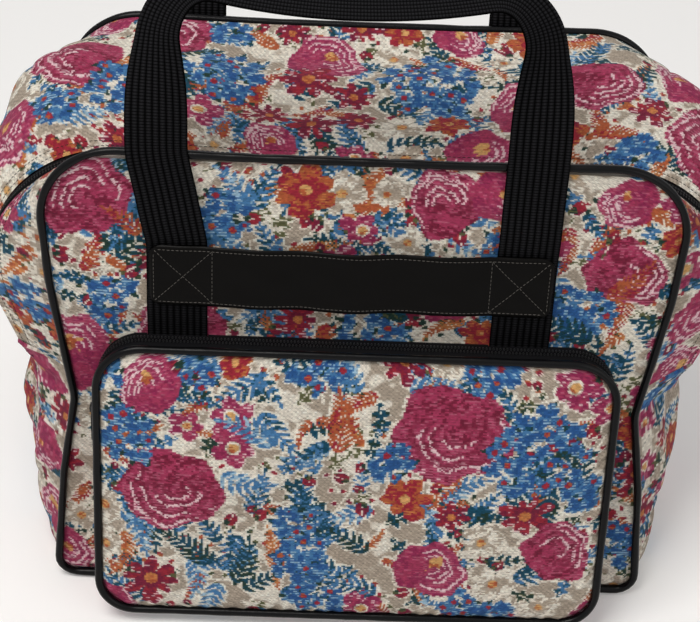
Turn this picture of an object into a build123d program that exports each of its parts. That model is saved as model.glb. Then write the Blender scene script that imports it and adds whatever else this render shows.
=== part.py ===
from build123d import *
import os
from math import atan2, cos, hypot, pi, radians, sin

# Tote bag in cloth with piped edges, a zipped top, a zipped front pocket and two webbing handles.
# Millimetres. The bag stands on its floor, +Z up, with its front towards -Y.

# Body
front_width = 440
front_height = 365
back_height = 358
zip_height = 338
girth_height = 361
base_depth = 215
front_lean = 24
cloth = 2.5
seam_gap = 0.2
overrun = 1
piping_radius = 3

# Half widths at foot, belly, crease, shoulder and top, as shares of half the front's width,
# and the heights of belly, crease and shoulder as shares of the height
panel_side_shares = (0.98, 0.945, 0.90, 0.965, 1.0)
zip_side_shares = (1.03, 1.07, 1.03, 1.19, 1.13)
girth_side_shares = (1.06, 1.12, 1.075, 1.23, 1.13)
side_height_shares = (0.27, 0.45, 0.71)

# Roundings of the body
foot_radius = 14
soft_radius = 60
crease_radius = 30
panel_corner = 52
zip_corner = 90
girth_corner = 58

# The top sags between its corners, with a level stretch in the middle
panel_sag = 3
zip_sag = 4
girth_sag = 20
level_length = 140
sag_radius = 60

# Main zip, and where the gusset's upper strips meet its lower part
front_strip = 34
join_height = 185
tape_width = 7.8
tape_thickness = 1
tape_drop = 0.8
tape_gap = 1.4
teeth_width = 2.9
teeth_stand = 0.9
teeth_gap = 1.2
teeth_play = 0.15

# Slack folds of the gusset behind the zip, at shares of the way to the back: how far the top rises,
# the sides swell and the side crease shifts
fold_shares = (0.2, 0.4, 0.6, 0.8)
fold_rises = (4, -3, 4, -3)
fold_swells = (4, -4, 5, -3)
fold_shifts = (8, -7, 9, -6)

# Zip sliders and their loop pulls
slider_length = 13
slider_width = 10
slider_corner = 2
slider_plate = 1.4
slider_play = 0.3
slider_web = 0.6
slider_spread = 26
lug_length = 4
lug_height = 3.8
cheek = 1
pin_radius = 0.8
pin_play = 0.35
pin_height = 2.3
eye_radius = 1.9
eye_width = 4
pull_length = 24
pull_width = 8
pull_rim = 2
pull_thickness = 1.6

# Front pocket
pocket_width = 360
pocket_foot = 8
pocket_drop = 143
pocket_top_depth = 22
pocket_foot_depth = 45
pocket_corner = 32
pocket_foot_corner = 26
pocket_crown = 10
pocket_zip_leg = 72
pocket_slider_rest = 12
crown_inset_shares = (0.05, 0.14, 0.32)
crown_height_shares = (0.45, 0.8, 1.0)

# Handles
strap_width = 42
strap_thickness = 1.8
strap_spacing = 236
strap_offset = -7
strap_release = 66
strap_turn = 26
strap_lift = 8
strap_spread = 7
handle_lean = -6
handle_rise = 104
handle_shoulder = 30
handle_fall = 40
handle_twist = 55
hang_turn = 10.5
hang_drop = 168
grip_droop = radians(9)
twist_steps = 4
shoulder_steps = 7
grip_steps = 4
turn_steps = 6

# Patch across the front handle
patch_height = 47
patch_drop = 68
patch_thickness = 1.5
patch_inset = 2.5
patch_corner = 9
patch_wave = 5
patch_wave_shares = (0.0, 0.55, 0.15, 0.9, 0.1, 0.6, 0.0)

# Planes: the front leans back, the back stands upright, and both look towards the front
half_width = front_width / 2
lean = atan2(front_lean, front_height)
front_up = (0, sin(lean), cos(lean))
front_out = (0, -cos(lean), sin(lean))
front_plane = Plane(origin=(0, -base_depth / 2, 0), x_dir=(1, 0, 0), z_dir=front_out)
back_plane = Plane.XZ.offset(-base_depth / 2)
join_plane = Plane.XY.offset(join_height)

edge_inset = piping_radius + seam_gap
panel_inset = piping_radius + 2 * seam_gap
zip_far = front_strip + 2 * tape_width + tape_gap
zip_middle = (front_strip + zip_far) / 2
front_edge_plane = front_plane.offset(-edge_inset)
zip_near_plane = front_plane.offset(-front_strip)
zip_far_plane = front_plane.offset(-zip_far)
back_edge_plane = back_plane.offset(edge_inset)


def up_front(height, depth):
    """Distance up the leaning front of a point at this height and depth behind the front."""
    return (height + depth * sin(lean)) / cos(lean)


def outline(plane, side_shares, height, sag, corner, floor, inset=0, swell=0, shift=0):
    """
    Closed outline of the bag in one upright plane, moved inwards by the inset.
    A fold swells its belly and shoulder and shifts its crease.
    """
    heights = [floor]
    heights += [share * height for share in side_height_shares]
    heights += [height - inset]
    swells = (0, swell, 0, swell, 0)
    shifts = (0, 0, shift, 0, 0)
    right = []
    for share, level, wider, higher in zip(side_shares, heights, swells, shifts):
        right.append((share * half_width + wider - inset, level + higher))
    right += [(level_length / 2, height - sag - inset)]
    left = [(-across, level) for across, level in reversed(right)]
    hollow = 2 * inset
    radii = [foot_radius, soft_radius, crease_radius + hollow, soft_radius, corner, sag_radius + hollow]
    radii = [radius - inset for radius in radii]
    with BuildSketch(plane, mode=Mode.PRIVATE) as shape:
        with BuildLine():
            FilletPolyline(right + left, radius=radii + radii[::-1], close=True)
        make_face()
    return shape.sketch


def front_line(plane, inset=0):
    """Outline of the front panel's edge."""
    floor = edge_inset + inset
    return outline(plane, panel_side_shares, front_height, panel_sag, panel_corner, floor, inset)


def back_line(plane, inset=0):
    """Outline of the back panel's edge."""
    floor = edge_inset + inset
    return outline(plane, panel_side_shares, back_height, panel_sag, panel_corner, floor, inset)


def zip_line(plane, inset=0):
    """Outline of the gusset where the main zip runs. The foot is cut level later."""
    floor = up_front(cloth, zip_far) if inset == cloth else up_front(-overrun, front_strip)
    return outline(plane, zip_side_shares, zip_height, zip_sag, zip_corner, floor, inset)


def between(share, at_zip, at_girth, at_back):
    """A value on the way from the zip to the back, by a parabola through its girth half way."""
    from_ends = at_zip * (1 - share) * (1 - 2 * share) + at_back * share * (2 * share - 1)
    return from_ends + at_girth * 4 * share * (1 - share)


def slack_line(share, rise, swell, shift, inset):
    """Outline of the gusset at one of its slack folds. The foot is cut level later."""
    turn = lean * (1 - share)
    first = zip_far / cos(lean) - base_depth / 2
    last = base_depth / 2 - edge_inset
    plane = Plane(
        origin=(0, first + share * (last - first), 0),
        x_dir=(1, 0, 0),
        z_dir=(0, -cos(turn), sin(turn)),
    )
    all_shares = zip(zip_side_shares, girth_side_shares, panel_side_shares)
    side_shares = [between(share, *values) for values in all_shares]
    height = between(share, zip_height, girth_height, back_height)
    sag = between(share, zip_sag, girth_sag, panel_sag) - rise
    corner = between(share, zip_corner, girth_corner, panel_corner)
    floor = cloth if inset == cloth else -overrun
    return outline(plane, side_shares, height, sag, corner, floor, inset, swell, shift)


def slack_sections(inset=0):
    """Outlines of the gusset from the zip through its folds to the back."""
    folds = zip(fold_shares, fold_rises, fold_swells, fold_shifts)
    sections = [zip_line(zip_far_plane, inset)]
    sections += [slack_line(*fold, inset) for fold in folds]
    return sections + [back_line(back_edge_plane, inset)]


def edge_loop(face):
    """The closed edge of a face, as a path."""
    return face.face().outer_wire()


# Front and back panels
with BuildPart() as front_panel:
    extrude(front_line(front_plane, panel_inset), amount=-cloth)

with BuildPart() as back_panel:
    extrude(back_line(back_plane, panel_inset), amount=cloth)

# Piping round both panels
with BuildPart() as front_piping:
    front_loop = edge_loop(front_line(front_plane))
    with BuildSketch(Plane(origin=front_loop @ 0, z_dir=front_loop % 0)):
        Circle(piping_radius)
    sweep(path=front_loop)

with BuildPart() as back_piping:
    back_loop = edge_loop(back_line(back_plane))
    with BuildSketch(Plane(origin=back_loop @ 0, z_dir=back_loop % 0)):
        Circle(piping_radius)
    sweep(path=back_loop)

# Upper gusset, in front of the main zip and behind it
with BuildPart() as gusset_front:
    loft([front_line(front_edge_plane), zip_line(zip_near_plane)])
    loft([front_line(front_edge_plane, cloth), zip_line(zip_near_plane, cloth)], mode=Mode.SUBTRACT)
    split(bisect_by=join_plane, keep=Keep.TOP)

with BuildPart() as gusset_rear:
    loft(slack_sections(), ruled=True)
    loft(slack_sections(cloth), ruled=True, mode=Mode.SUBTRACT)
    split(bisect_by=join_plane, keep=Keep.TOP)

# Lower gusset: the floor and the lower sides, in one length of cloth
with BuildPart() as gusset_bottom:
    loft([front_line(front_edge_plane), zip_line(zip_near_plane)])
    extrude(zip_line(zip_near_plane), amount=front_strip - zip_far)
    loft(slack_sections(), ruled=True)
    loft([front_line(front_edge_plane, cloth), zip_line(zip_near_plane, cloth)], mode=Mode.SUBTRACT)
    extrude(zip_line(zip_near_plane, cloth), amount=front_strip - zip_far, mode=Mode.SUBTRACT)
    loft(slack_sections(cloth), ruled=True, mode=Mode.SUBTRACT)
    split(bisect_by=join_plane, keep=Keep.BOTTOM)
    split(bisect_by=Plane.XY, keep=Keep.TOP)


def zip_band(near, far, top, bottom):
    """A band of the main zip: over the top and down both sides, between two depths and two insets."""
    with BuildPart() as band:
        extrude(zip_line(front_plane.offset(-near), top), amount=near - far)
        extrude(zip_line(front_plane.offset(-near), bottom), amount=near - far, mode=Mode.SUBTRACT)
        split(bisect_by=join_plane, keep=Keep.TOP)
    return band.part


# Main zip
tape_insets = (tape_drop, tape_drop + tape_thickness)
teeth_insets = (-teeth_stand, tape_drop - teeth_play)
main_tape_front = zip_band(front_strip, front_strip + tape_width, *tape_insets)
main_tape_rear = zip_band(zip_far - tape_width, zip_far, *tape_insets)
front_teeth_far = zip_middle - teeth_gap / 2
rear_teeth_near = zip_middle + teeth_gap / 2
main_teeth_front = zip_band(front_teeth_far - teeth_width, front_teeth_far, *teeth_insets)
main_teeth_rear = zip_band(rear_teeth_near, rear_teeth_near + teeth_width, *teeth_insets)

# Levels of a slider above the cloth of the zip it runs on
slider_under = -tape_drop - tape_thickness - slider_play
slider_over = teeth_stand + slider_play
slider_top = slider_over + slider_plate
pin_level = slider_top + pin_height
cheek_middle = eye_width / 2 + slider_play + cheek / 2


def pin_plane(plane):
    """Plane across the zip through a slider's pin, seen along the pin."""
    return Plane(origin=plane.from_local_coords((0, 0, pin_level)), x_dir=plane.x_dir, z_dir=plane.y_dir)


def zip_slider(plane):
    """Slider on a zip: its plane has the run of the zip along x and the cloth's outside along z."""
    with BuildPart() as body:
        for level in (slider_under - slider_plate, slider_over):
            with BuildSketch(plane.offset(level)):
                RectangleRounded(slider_length, slider_width, slider_corner)
            extrude(amount=slider_plate)
        with BuildSketch(plane.offset(slider_under)):
            Rectangle(slider_length - 2 * slider_corner, slider_web)
        extrude(amount=slider_over - slider_under)
        with BuildSketch(plane.offset(slider_top)):
            with Locations((0, cheek_middle), (0, -cheek_middle)):
                Rectangle(lug_length, cheek)
        extrude(amount=lug_height)
        with BuildSketch(pin_plane(plane)):
            Circle(pin_radius)
        extrude(amount=cheek_middle, both=True)
    return body.part


def zip_pull(plane, way):
    """Loop pull on a slider's pin, lying along the zip one way (1) or the other (-1)."""
    with BuildPart() as loop:
        with BuildSketch(plane.offset(pin_level - pull_thickness / 2)):
            with Locations((way * (lug_length + pull_length / 2), 0)):
                SlotOverall(pull_length, pull_width)
                SlotOverall(pull_length - 2 * pull_rim, pull_width - 2 * pull_rim, mode=Mode.SUBTRACT)
            with Locations((way * (lug_length + pull_rim) / 2, 0)):
                Rectangle(lug_length + pull_rim, eye_width)
        extrude(amount=pull_thickness)
        with BuildSketch(pin_plane(plane)):
            Circle(eye_radius)
        extrude(amount=eye_width / 2, both=True)
        with BuildSketch(pin_plane(plane)):
            Circle(pin_radius + pin_play)
        extrude(amount=eye_width, both=True, mode=Mode.SUBTRACT)
    return loop.part


# The two main sliders meet in the middle of the level stretch
level_height = zip_height - zip_sag
main_left_plane = Plane(
    origin=front_plane.from_local_coords((-slider_spread / 2, level_height, -zip_middle)),
    x_dir=(-1, 0, 0),
    z_dir=front_up,
)
main_right_plane = Plane(
    origin=front_plane.from_local_coords((slider_spread / 2, level_height, -zip_middle)),
    x_dir=(1, 0, 0),
    z_dir=front_up,
)
main_slider_left = zip_slider(main_left_plane)
main_slider_right = zip_slider(main_right_plane)
main_pull_left = zip_pull(main_left_plane, 1)
main_pull_right = zip_pull(main_right_plane, 1)

# Pocket planes: its front leans further out towards the foot
pocket_half = pocket_width / 2
pocket_top = front_height - pocket_drop
pocket_zip_foot = pocket_top - pocket_zip_leg
pocket_run = pocket_top - pocket_foot
pocket_swell = pocket_foot_depth - pocket_top_depth
pocket_lean = lean + atan2(pocket_swell, pocket_run)
pocket_slope = hypot(pocket_run, pocket_swell)
pocket_out = (0, -cos(pocket_lean), sin(pocket_lean))
pocket_plane = Plane(
    origin=front_plane.from_local_coords((0, pocket_foot, pocket_foot_depth)),
    x_dir=(1, 0, 0),
    z_dir=pocket_out,
)
pocket_wall_plane = pocket_plane.offset(-edge_inset)
pocket_zip_end_plane = Plane(
    origin=front_plane.from_local_coords((0, pocket_zip_foot, 0)),
    x_dir=(1, 0, 0),
    z_dir=front_up,
)


def pocket_outline(plane, foot, top, inset, rounding=0):
    """Outline of the pocket between two heights in its plane, moved inwards by the inset."""
    across = pocket_half - inset
    corners = [(across, foot + inset), (across, top - inset), (-across, top - inset), (-across, foot + inset)]
    radii = [pocket_foot_corner, pocket_corner, pocket_corner, pocket_foot_corner]
    with BuildSketch(plane, mode=Mode.PRIVATE) as shape:
        with BuildLine():
            FilletPolyline(corners, radius=[radius - inset + rounding for radius in radii], close=True)
        make_face()
    return shape.sketch


def pocket_wall(near, outer, inner, far=pocket_foot_depth):
    """A closed band round the pocket, from one depth to another or to the back of the pocket's piping."""
    start = front_plane.offset(near)
    with BuildPart() as band:
        extrude(pocket_outline(start, pocket_foot, pocket_top, outer), amount=far - near)
        extrude(pocket_outline(start, pocket_foot, pocket_top, inner), amount=far - near, mode=Mode.SUBTRACT)
        split(bisect_by=pocket_wall_plane, keep=Keep.BOTTOM)
    return band.part


# Straps on the front panel pass under the pocket's zip tape through two notches
strap_places = (strap_offset - strap_spacing / 2, strap_offset + strap_spacing / 2)
notch_width = strap_width + 2 * seam_gap
pocket_teeth_near = (tape_gap - teeth_gap) / 2 + tape_width - teeth_width
pocket_zip_middle = tape_width + tape_gap / 2

with BuildPart() as pocket_tape_inner:
    add(pocket_wall(0, *tape_insets, far=tape_width))
    split(bisect_by=pocket_zip_end_plane, keep=Keep.TOP)
    with BuildSketch(front_plane):
        with Locations(*[(place, pocket_top) for place in strap_places]):
            Rectangle(notch_width, pocket_corner)
    extrude(amount=strap_thickness + seam_gap, mode=Mode.SUBTRACT)

with BuildPart() as pocket_tape_outer:
    add(pocket_wall(tape_width + tape_gap, *tape_insets))
    split(bisect_by=pocket_zip_end_plane, keep=Keep.TOP)

with BuildPart() as pocket_teeth_inner:
    add(pocket_wall(pocket_teeth_near, *teeth_insets, far=pocket_teeth_near + teeth_width))
    split(bisect_by=pocket_zip_end_plane, keep=Keep.TOP)

with BuildPart() as pocket_teeth_outer:
    outer_teeth_near = pocket_zip_middle + teeth_gap / 2
    add(pocket_wall(outer_teeth_near, *teeth_insets, far=outer_teeth_near + teeth_width))
    split(bisect_by=pocket_zip_end_plane, keep=Keep.TOP)

with BuildPart() as pocket_gusset:
    add(pocket_wall(0, 0, cloth))
    split(bisect_by=pocket_zip_end_plane, keep=Keep.BOTTOM)

with BuildPart() as pocket_piping:
    pocket_loop = edge_loop(pocket_outline(pocket_plane, 0, pocket_slope, 0))
    with BuildSketch(Plane(origin=pocket_loop @ 0, z_dir=pocket_loop % 0)):
        Circle(piping_radius)
    sweep(path=pocket_loop)


def crown_section(level, inset):
    """Section of the pocket's swelling front, at a level out from its piping."""
    return pocket_outline(pocket_plane.offset(level), 0, pocket_slope, inset, inset)


# The pocket's front swells out from its piping
crown_insets = [edge_inset + share * pocket_slope for share in crown_inset_shares]
crown_levels = [share * pocket_crown for share in crown_height_shares]
with BuildPart() as pocket_front:
    rim = crown_section(0, edge_inset)
    extrude(rim, amount=-cloth)
    loft([rim] + [crown_section(*crown) for crown in zip(crown_levels, crown_insets)], ruled=True)
    hollow = [crown_section(-cloth, edge_inset + cloth)]
    hollow += [crown_section(level - cloth, inset) for level, inset in zip(crown_levels, crown_insets)]
    loft(hollow, ruled=True, mode=Mode.SUBTRACT)

# Pocket slider near the lower end of the left leg of its zip
pocket_slider_height = pocket_zip_foot + pocket_slider_rest
pocket_slider_plane = Plane(
    origin=front_plane.from_local_coords((-pocket_half, pocket_slider_height, pocket_zip_middle)),
    x_dir=front_up,
    z_dir=(-1, 0, 0),
)
pocket_slider = zip_slider(pocket_slider_plane)
pocket_pull = zip_pull(pocket_slider_plane, -1)


def ribbon(stations):
    """Webbing through stations, each a centre, a direction of travel and a direction of width."""
    sections = []
    for centre, travel, width in stations:
        with BuildSketch(Plane(origin=centre, x_dir=width, z_dir=travel), mode=Mode.PRIVATE) as cut:
            Rectangle(strap_width, strap_thickness)
        sections.append(cut.sketch)
    return sections


def mirrored(stations):
    """The stations of the other leg, in the order of travel back down to the bag."""
    other = []
    for centre, travel, width in reversed(stations):
        middle = Vector(2 * strap_offset - centre.X, centre.Y, centre.Z)
        other.append((middle, Vector(travel.X, -travel.Y, -travel.Z), Vector(-width.X, width.Y, width.Z)))
    return other


def loop_stations(start, rise, way, fall):
    """
    Half of a handle's free loop, from the top of its right leg to the middle of the grip.
    It goes up (way 1) or down (way -1), turns on edge at the shoulder and falls back on the way.
    """
    reach = start.X - strap_offset
    leg = rise - handle_shoulder
    bend = pi / 2 + grip_droop
    twist_length = handle_twist + handle_shoulder * bend
    path = []
    for step in range(twist_steps + 1):
        twisted = handle_twist * step / twist_steps
        path.append((reach, leg - handle_twist + twisted, 0, twisted / twist_length))
    for step in range(1, shoulder_steps + 1):
        turn = bend * step / shoulder_steps
        twisted = handle_twist + handle_shoulder * turn
        across = reach - handle_shoulder * (1 - cos(turn))
        path.append((across, leg + handle_shoulder * sin(turn), turn, twisted / twist_length))
    grip_reach, grip_height = path[-1][:2]
    grip_radius = grip_reach / sin(grip_droop)
    for step in range(1, grip_steps + 1):
        turn = pi / 2 + grip_droop * (1 - step / grip_steps)
        height = grip_height - grip_radius * (sin(turn) - cos(grip_droop))
        path.append((-grip_radius * cos(turn), height, turn, 1))
    stations = []
    for across, height, turn, twist_share in path:
        twist = pi / 2 * twist_share
        back = fall * (height / rise) ** 2
        back_slope = 2 * fall * height / rise**2
        travel = Vector(-sin(turn), back_slope * cos(turn), way * cos(turn))
        outward = Vector(cos(turn), 0, way * sin(turn))
        width = outward * cos(twist) + Vector(0, 1, 0) * sin(twist)
        centre = Vector(strap_offset + across, start.Y + back, start.Z + way * height)
        stations.append((centre, travel, width))
    return stations


def leaned(stations):
    """The stations of the front handle, moved sideways as its free part leans."""
    moved = []
    for centre, travel, width in stations:
        free = (front_plane.to_local_coords(centre).Y - front_release) / strap_release
        moved.append((centre + Vector(handle_lean * min(1, free), 0, 0), travel, width))
    return moved


def strap_legs(plane, foot, top):
    """Sewn legs of a handle, flat on a panel."""
    with BuildSketch(plane, mode=Mode.PRIVATE) as legs:
        with Locations(*[(place, (foot + top) / 2) for place in strap_places]):
            Rectangle(strap_width, top - foot)
    return legs.sketch


# Front handle: its legs are sewn to the front panel up to the patch, then spread, leave the panel
# over the piping, stand up and lean to the left
right_place = strap_places[1]
strap_middle = strap_thickness / 2
strap_clear = piping_radius + seam_gap + strap_middle
front_release = front_height - strap_release
strap_foot = pocket_foot + cloth + seam_gap
front_top = right_place + strap_spread
front_start = front_plane.from_local_coords(Vector(front_top, front_height, strap_clear))
front_lift = front_height - strap_lift
front_stations = []
for height, out in ((front_release, strap_middle), (front_lift, strap_clear), (front_height, strap_clear)):
    spread = strap_spread * (height - front_release) / strap_release
    centre = front_plane.from_local_coords(Vector(right_place + spread, height, out))
    front_stations.append((centre, Vector(front_up), Vector(1, 0, 0)))
front_stations += loop_stations(front_start, handle_rise, 1, handle_fall)
with BuildPart() as front_handle:
    extrude(strap_legs(front_plane, strap_foot, front_release), amount=strap_thickness)
    loft(ribbon(leaned(front_stations + mirrored(front_stations[:-1]))), ruled=True)

# Back handle: it leaves the back panel over the piping, turns over and hangs down behind the bag
back_release = back_height - strap_turn
back_face = base_depth / 2
turn_start = Vector(right_place, back_face + strap_clear, back_height + piping_radius)
back_stations = []
for height, out in ((back_release, strap_middle), (back_height - strap_lift, strap_clear)):
    centre = Vector(right_place, back_face + out, height)
    back_stations.append((centre, Vector(0, 0, 1), Vector(1, 0, 0)))
for step in range(turn_steps + 1):
    turn = pi * step / turn_steps
    reach_back = hang_turn * (1 - cos(turn))
    centre = turn_start + Vector(0, reach_back, hang_turn * sin(turn))
    back_stations.append((centre, Vector(0, sin(turn), cos(turn)), Vector(1, 0, 0)))
hang_start = back_stations[-1][0]
back_stations += loop_stations(hang_start, hang_drop, -1, 0)
with BuildPart() as back_handle:
    extrude(strap_legs(back_plane, strap_foot, back_release), amount=-strap_thickness)
    loft(ribbon(back_stations + mirrored(back_stations[:-1])), ruled=True)

# Patch: a bar over both legs of the front handle, with slack between them
patch_foot = front_height - patch_drop - patch_height
patch_plane = Plane(
    origin=front_plane.from_local_coords((strap_offset, patch_foot, 0)),
    x_dir=(1, 0, 0),
    z_dir=front_up,
)
patch_half = (strap_spacing + strap_width) / 2 - patch_inset
slack_half = (strap_spacing - strap_width) / 2
patch_rest = -strap_thickness - seam_gap
slack_steps = len(patch_wave_shares) - 1
slack_points = []
for step, share in enumerate(patch_wave_shares):
    across = slack_half * (2 * step / slack_steps - 1)
    slack_points.append((across, patch_rest - share * patch_wave))
with BuildPart() as front_patch:
    with BuildSketch(patch_plane):
        with BuildLine():
            behind = Spline(slack_points, tangents=[(1, 0), (1, 0)])
            Line((-patch_half, patch_rest), behind @ 0)
            Line(behind @ 1, (patch_half, patch_rest))
            Line((patch_half, patch_rest), (patch_half, patch_rest - patch_thickness))
            before = Spline(
                [(across, level - patch_thickness) for across, level in slack_points],
                tangents=[(1, 0), (1, 0)],
            )
            Line((-patch_half, patch_rest - patch_thickness), before @ 0)
            Line(before @ 1, (patch_half, patch_rest - patch_thickness))
            Line((-patch_half, patch_rest), (-patch_half, patch_rest - patch_thickness))
        make_face()
    extrude(amount=patch_height)
    with BuildSketch(front_plane):
        with Locations((strap_offset, patch_foot + patch_height / 2)):
            RectangleRounded(2 * patch_half, patch_height, patch_corner)
    extrude(amount=patch_wave * 2 + strap_thickness + patch_thickness, mode=Mode.INTERSECT)

# One file for each piece
pieces = {
    "front_panel": front_panel.part,
    "back_panel": back_panel.part,
    "front_piping": front_piping.part,
    "back_piping": back_piping.part,
    "gusset_front": gusset_front.part,
    "gusset_rear": gusset_rear.part,
    "gusset_bottom": gusset_bottom.part,
    "main_tape_front": main_tape_front,
    "main_tape_rear": main_tape_rear,
    "main_teeth_front": main_teeth_front,
    "main_teeth_rear": main_teeth_rear,
    "main_slider_left": main_slider_left,
    "main_slider_right": main_slider_right,
    "main_pull_left": main_pull_left,
    "main_pull_right": main_pull_right,
    "pocket_front": pocket_front.part,
    "pocket_gusset": pocket_gusset.part,
    "pocket_piping": pocket_piping.part,
    "pocket_tape_inner": pocket_tape_inner.part,
    "pocket_tape_outer": pocket_tape_outer.part,
    "pocket_teeth_inner": pocket_teeth_inner.part,
    "pocket_teeth_outer": pocket_teeth_outer.part,
    "pocket_slider": pocket_slider,
    "pocket_pull": pocket_pull,
    "front_handle": front_handle.part,
    "back_handle": back_handle.part,
    "front_patch": front_patch.part,
}
os.makedirs("parts", exist_ok=True)
for name, piece in pieces.items():
    piece.label = name
    export_step(piece, f"parts/{name}.step")
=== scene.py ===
from math import atan2, cos, hypot, pi, radians, sin, tan

import bpy
import numpy as np
from mathutils import Matrix, Vector
from mathutils.bvhtree import BVHTree


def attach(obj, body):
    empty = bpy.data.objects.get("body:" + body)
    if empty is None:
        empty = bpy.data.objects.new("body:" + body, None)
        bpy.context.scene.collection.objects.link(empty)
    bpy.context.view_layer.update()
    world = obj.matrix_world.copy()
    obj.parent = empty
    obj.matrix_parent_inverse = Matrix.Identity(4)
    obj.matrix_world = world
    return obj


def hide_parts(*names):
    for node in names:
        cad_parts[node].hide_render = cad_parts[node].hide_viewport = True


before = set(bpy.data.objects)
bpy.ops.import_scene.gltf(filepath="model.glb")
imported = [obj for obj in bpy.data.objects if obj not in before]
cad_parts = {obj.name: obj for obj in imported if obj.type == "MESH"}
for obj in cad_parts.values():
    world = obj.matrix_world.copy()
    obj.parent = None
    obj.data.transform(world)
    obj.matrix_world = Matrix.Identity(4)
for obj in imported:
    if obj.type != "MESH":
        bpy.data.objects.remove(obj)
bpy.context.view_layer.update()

# Lengths are in millimetres until a mesh is made.
metre = 0.001

# Planes of the bag
front_height = 365
base_depth = 215
front_lean = 24
join_height = 185
zip_near = 34
zip_far = 51
edge_inset = 3.2
piping_radius = 3
lean = atan2(front_lean, front_height)
front_origin = np.array([0, -base_depth / 2, 0])
front_up = np.array([0, sin(lean), cos(lean)])
front_out = np.array([0, -cos(lean), sin(lean)])
back_face = base_depth / 2
back_up = np.array([0, 0, 1.0])
rightward = np.array([1.0, 0, 0])

# Front pocket
pocket_half = 180
pocket_foot = 8
pocket_top = 222
pocket_top_depth = 22
pocket_foot_depth = 45
pocket_zip_foot = 150
pocket_side_middle = 110
pocket_tilt = atan2(pocket_foot_depth - pocket_top_depth, pocket_top - pocket_foot)
pocket_slope = hypot(pocket_foot_depth - pocket_top_depth, pocket_top - pocket_foot)

# Handles
strap_width = 42
strap_thickness = 1.8
strap_spacing = 236
strap_offset = -7
strap_release = 66
strap_turn = 26
strap_lift = 8
strap_spread = 7
strap_foot = 10.7
strap_step = 2.6
handle_lean = -6
handle_rise = 104
handle_shoulder = 30
handle_fall = 40
handle_twist = 55
hang_turn = 10.5
hang_drop = 168
grip_droop = radians(9)
back_height = 358
strap_ribs = 9
rib_width = (strap_width - 0.8) / strap_ribs
rib_depth = 0.42
bar_pitch = 2.1
strap_middle = strap_thickness / 2
strap_clear = piping_radius + 0.2 + strap_middle
right_place = strap_offset + strap_spacing / 2
left_place = strap_offset - strap_spacing / 2

# Patch
patch_foot = 250
patch_height = 47
patch_half = 136.5
patch_corner = 9
patch_thickness = 1.5
patch_seam = 3.0

# Zips: middles of the rows behind the front or out from it, teeth, and the tape behind them
main_zip_depth = 42.5
pocket_zip_depth = 8.5
teeth_offset = 2.05
coil_pitch = 2.4
coil_thickness = 1.5
coil_sink = 0.85
coil_tail = 1.3
coil_head = 1.2
guard_width = 9
guard_thickness = 1
guard_sink = 6
bag_middle = np.array([0, 0, 150])

# Angles in degrees, about the join or the foot of the pocket's zip, where rays start on each side
seam_angle = 0.03
main_teeth_angle = 0.4
pocket_teeth_angle = -2
ray_start = 500

# Woven floats of the cloth, and the hem that turns back behind the piping
float_width = 1.35
float_height = 1.05
coarse_height = 1.35
float_softness = 0.3
weave_width = 1.7
weave_height = 0.85
hem_widths = (0.4, 1.2, 2.0)
hem_depths = (1.5, 2.5, 3.05)

# Share of its pitch that a stitch covers
stitch_share = 0.72

# Colours of the yarns, in display values from 0 to 255
yarn = {
    "rose": (166, 58, 92),
    "deep": (122, 34, 60),
    "pink": (188, 98, 124),
    "blush": (232, 202, 206),
    "blue": (72, 122, 170),
    "navy": (44, 88, 146),
    "sky": (156, 188, 210),
    "teal": (24, 72, 94),
    "green": (34, 58, 50),
    "olive": (92, 94, 62),
    "red": (156, 42, 58),
    "rust": (178, 92, 58),
    "orange": (202, 128, 76),
    "gold": (216, 166, 106),
    "taupe": (180, 166, 150),
    "cream": (240, 232, 218),
    "magenta": (146, 44, 84),
}
yarn = {name: np.array(value) / 255 for name, value in yarn.items()}


def front_point(across, height, out):
    """World points from places on the leaning front: across, up along it and out from it."""
    across, height, out = (value[..., None] for value in np.broadcast_arrays(across, height, out))
    return front_origin + across * rightward + height * front_up + out * front_out


def pocket_point(across, slope, out):
    """World points from places on the pocket's tilted front."""
    slope, out = np.broadcast_arrays(slope, out)
    height = pocket_foot + slope * cos(pocket_tilt) + out * sin(pocket_tilt)
    depth = pocket_foot_depth - slope * sin(pocket_tilt) + out * cos(pocket_tilt)
    return front_point(across, height, depth)


def back_point(across, height, out):
    """World points from places on the upright back."""
    across, height, out = np.broadcast_arrays(across, height, out)
    return np.stack([across, back_face + out, height], -1)


def smoothstep(value, low, high):
    """0 below the low value, 1 above the high one, and smooth between."""
    share = np.clip((np.asarray(value, float) - low) / (high - low), 0, 1)
    return share * share * (3 - 2 * share)


def unit(vectors):
    """Vectors brought to length 1."""
    return vectors / np.maximum(np.linalg.norm(vectors, axis=-1, keepdims=True), 1e-9)


def waves(places, wavelength, seed, count=14):
    """Smooth seeded noise of about unit size in space, from a sum of plane waves."""
    random = np.random.default_rng(seed)
    ways = unit(random.normal(size=(count, 3)))
    ways *= 2 * pi / wavelength * random.uniform(0.6, 1.5, (count, 1))
    phases = random.uniform(0, 2 * pi, count)
    total = np.zeros(places.shape[:-1])
    for way, phase in zip(ways, phases):
        total += np.sin(places @ way + phase)
    return total * (2 / count) ** 0.5


def flat_places(across, up):
    """Places in the flat cloth as points, for seeded noise."""
    return np.stack([across, up, 0 * up], -1)


def normals_of(points):
    """Unit normals of a grid of points, rows by columns."""
    return unit(np.cross(np.gradient(points, axis=1), np.gradient(points, axis=0)))


def middles(values):
    """Values at the middles of a grid's quads."""
    return (values[:-1, :-1] + values[1:, :-1] + values[:-1, 1:] + values[1:, 1:]) / 4


# Rays on CAD shapes, and lines
def tree_of(mesh):
    """Search tree of a mesh, in millimetres."""
    corners = [vertex.co / metre for vertex in mesh.vertices]
    return BVHTree.FromPolygons(corners, [list(face.vertices) for face in mesh.polygons])


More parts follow.
